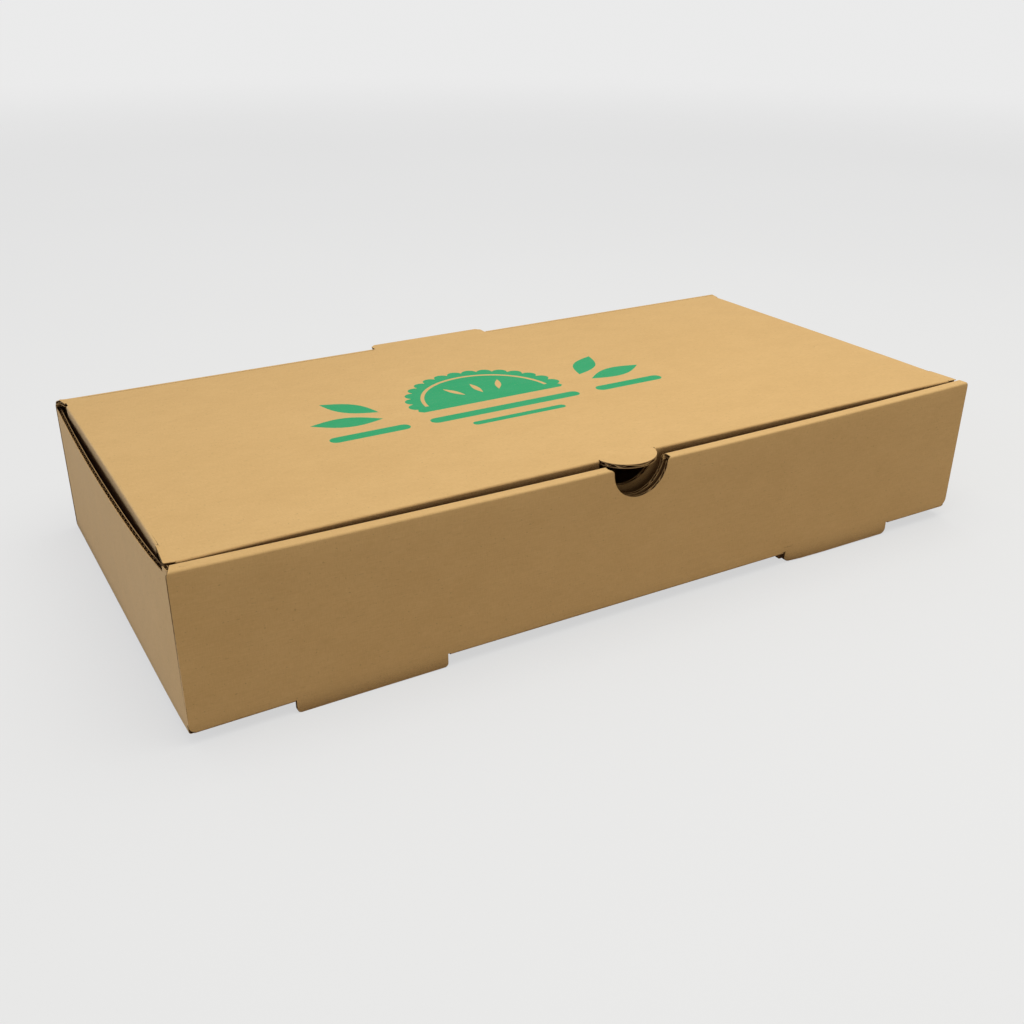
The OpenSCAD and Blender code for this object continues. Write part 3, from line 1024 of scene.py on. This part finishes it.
tray_piece = tray.build(materials[:3])
lid_piece = lid.build(materials)
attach(tray_piece, "tray")
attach(lid_piece, "lid")
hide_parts("tray")
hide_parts("lid")
for name, x_low, x_high in (
        ("hinge_crease_left", -EAR_X + 0.5, -VENT_HALF_W - 0.5),
        ("hinge_crease_right", VENT_HALF_W + 0.5, EAR_X - 0.5)):
    ribbon = crease_ribbon(name, x_low, x_high, kraft_out)
    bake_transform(ribbon)


# Floor, light and camera

def seen_rays(n):
    """One where the floor or world is seen, also in gloss or through glass, and nought for light."""
    path = n.add("ShaderNodeLightPath").outputs
    seen = n.math("MAXIMUM", path["Is Camera Ray"], path["Is Glossy Ray"])
    return n.math("MAXIMUM", seen, path["Is Transmission Ray"])


BACKDROP = 0.828
WORLD_COLOUR = (1.0, 0.955, 0.85)
WORLD_STRENGTH = 0.34
FLOOR_GAP = 0.5
CAMERA_PLACE = (-0.2225, -0.3844, 0.2092)
CAMERA_LENS = 40.34


def floor_material():
    """A pale floor that keeps part of the object's real shadow, has a painted shadow halo around the
    object, and fades into the backdrop.
    """
    n = Nodes(bpy.data.materials.new("floor"))
    spot = n.add("ShaderNodeTexCoord").outputs["Object"]
    mottle = n.window(n.noise(spot, (3, 3, 3), 2.0), 0.2, 0.8, 0.995, 1.005)
    shown = n.mix(1.0, (BACKDROP, BACKDROP, BACKDROP, 1), mottle, "MULTIPLY")
    # Painted shadow: ambient occlusion darkens the glowing floor into a soft halo around the object;
    # only the small lit share shows real shadow
    painted_shade_ao = n.add(
        "ShaderNodeAmbientOcclusion", {"Distance": 0.14}, samples=4).outputs["AO"]
    soft = n.mix(1.0, shown, n.window(painted_shade_ao, 0.3, 1.0, 0.88, 1.0), "MULTIPLY")
    lit = n.add("ShaderNodeBsdfDiffuse", {"Color": shown}).outputs[0]
    glow = n.add("ShaderNodeEmission", {"Color": soft}).outputs[0]
    seen = n.add("ShaderNodeMixShader", {0: 0.85, 1: lit, 2: glow}).outputs[0]
    unseen = n.add("ShaderNodeBsdfDiffuse", {"Color": (0.42, 0.36, 0.30, 1)}).outputs[0]
    near = n.add("ShaderNodeMixShader", {0: seen_rays(n), 1: unseen, 2: seen}).outputs[0]
    far = n.add("ShaderNodeVectorMath", {0: spot}, operation="LENGTH").outputs["Value"]
    clear = n.add("ShaderNodeBsdfTransparent").outputs[0]
    fade = n.window(far, 1.0, 1.9)
    shader = n.add("ShaderNodeMixShader", {0: fade, 1: near, 2: clear}).outputs[0]
    n.add("ShaderNodeOutputMaterial", {"Surface": shader})
    return n.owner


def make_floor():
    """A round floor just under the feet, as steep as a line from them to the base's rear edge."""
    slope = FOOT_DROP / (2 * HALF_D - FOLD_R)
    mesh = bpy.data.meshes.new("floor")
    work = bmesh.new()
    bmesh.ops.create_circle(work, cap_ends=True, segments=96, radius=2.0)
    for vert in work.verts:
        vert.co.z = (-FOOT_DROP - FLOOR_GAP + slope * HALF_D) * MM + slope * vert.co.y
    work.to_mesh(mesh)
    work.free()
    mesh.materials.append(floor_material())
    floor = bpy.data.objects.new("floor", mesh)
    bpy.context.scene.collection.objects.link(floor)


def make_world():
    """A dim warm world that lights the part and shows as a pale backdrop."""
    n = Nodes(bpy.data.worlds.new("studio"))
    bpy.context.scene.world = n.owner
    light = n.add("ShaderNodeBackground", {0: (*WORLD_COLOUR, 1), 1: WORLD_STRENGTH}).outputs[0]
    shown = n.add("ShaderNodeBackground", {0: (BACKDROP, BACKDROP, BACKDROP, 1)}).outputs[0]
    mix = n.add("ShaderNodeMixShader", {0: seen_rays(n), 1: light, 2: shown}).outputs[0]
    n.add("ShaderNodeOutputWorld", {0: mix})


def make_sun(name, towards, strength, angle, colour):
    """A soft distant lamp that shines along a direction."""
    data = bpy.data.lights.new(name, "SUN")
    data.energy = strength
    data.angle = math.radians(angle)
    data.color = colour
    lamp = bpy.data.objects.new(name, data)
    lamp.rotation_euler = Vector(towards).to_track_quat("-Z", "Y").to_euler()
    bpy.context.scene.collection.objects.link(lamp)


def make_panel(name, location, size, power, colour):
    """A soft square lamp that shines straight down."""
    data = bpy.data.lights.new(name, "AREA")
    data.size = size
    data.energy = power
    data.color = colour
    lamp = bpy.data.objects.new(name, data)
    lamp.location = location
    bpy.context.scene.collection.objects.link(lamp)


def make_camera():
    """A camera at the photograph's viewing angle."""
    right = Vector((0.86765, -0.49716, -0.00301))
    down = Vector((-0.21303, -0.36631, -0.90578))
    forward = Vector((0.44921, 0.78654, -0.42374))
    data = bpy.data.cameras.new("camera")
    data.sensor_fit = "HORIZONTAL"
    data.sensor_width = 36.0
    data.lens = CAMERA_LENS
    data.clip_start = 0.01
    data.clip_end = 50
    camera = bpy.data.objects.new("camera", data)
    axes = Matrix((right, -down, -forward)).transposed()
    camera.matrix_world = Matrix.Translation(CAMERA_PLACE) @ axes.to_4x4()
    bpy.context.scene.collection.objects.link(camera)
    bpy.context.scene.camera = camera


make_floor()
make_world()
make_panel("key", (0.10, -0.14, 0.68), 0.6, 3.6, (1.0, 0.975, 0.87))
make_sun("fill", (1.0, -0.15, -0.08), 2.02, 60, (0.48, 0.63, 1.0))
make_camera()
bpy.context.scene.view_settings.view_transform = "Standard"
